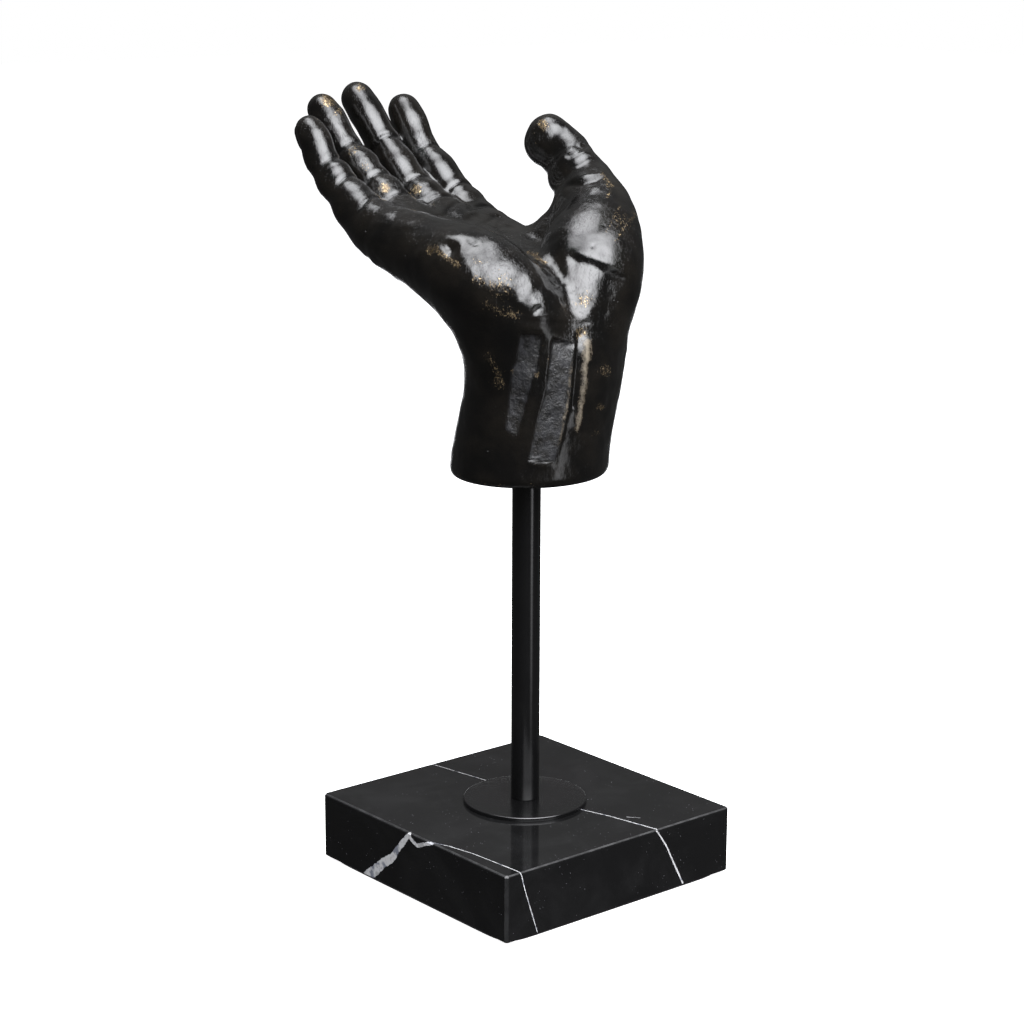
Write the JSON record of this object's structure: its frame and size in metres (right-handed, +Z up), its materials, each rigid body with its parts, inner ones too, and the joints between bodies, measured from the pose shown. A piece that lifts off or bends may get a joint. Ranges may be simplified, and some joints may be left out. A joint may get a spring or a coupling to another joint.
{
  "type": "hand sculpture",
  "caption": "Open cast resin hand, palm up, screwed to a slim tube with a steel disc on a square marble base; the hand turns on its rod to face any way.",
  "frame": {"origin": "under the middle of the felt, on the surface that the part stands on and on the rod's axis", "axes": "+Z up along the rod; -X the way the fingers point; +Y the thumb's side"},
  "size_m": [0.196, 0.13, 0.345],
  "materials": {
    "resin": "black lacquer over bronze, rubbed through on the high places",
    "marble": "polished black with white veins",
    "black_steel": "satin black powder coat",
    "zinc_steel": "bright zinc plate",
    "brass": "turned brass",
    "felt": "pressed black felt"
  },
  "bodies": {
    "stand": {"felt_pad": "felt", "marble_base": "marble", "base_disc": "black_steel", "support_tube": "black_steel", "tie_rod": "zinc_steel", "flat_washer": "zinc_steel", "spring_washer": "zinc_steel", "clamp_nut": "zinc_steel"},
    "hand": {"hand": "resin", "wrist_insert": "brass"}
  },
  "joints": [
    {"name": "hand_turn", "type": "hinge", "parent": "stand", "child": "hand", "pos_m": [0, 0, 0.1825], "axis": [0, 0, 1], "range_deg": [-180, 180]}
  ]
}
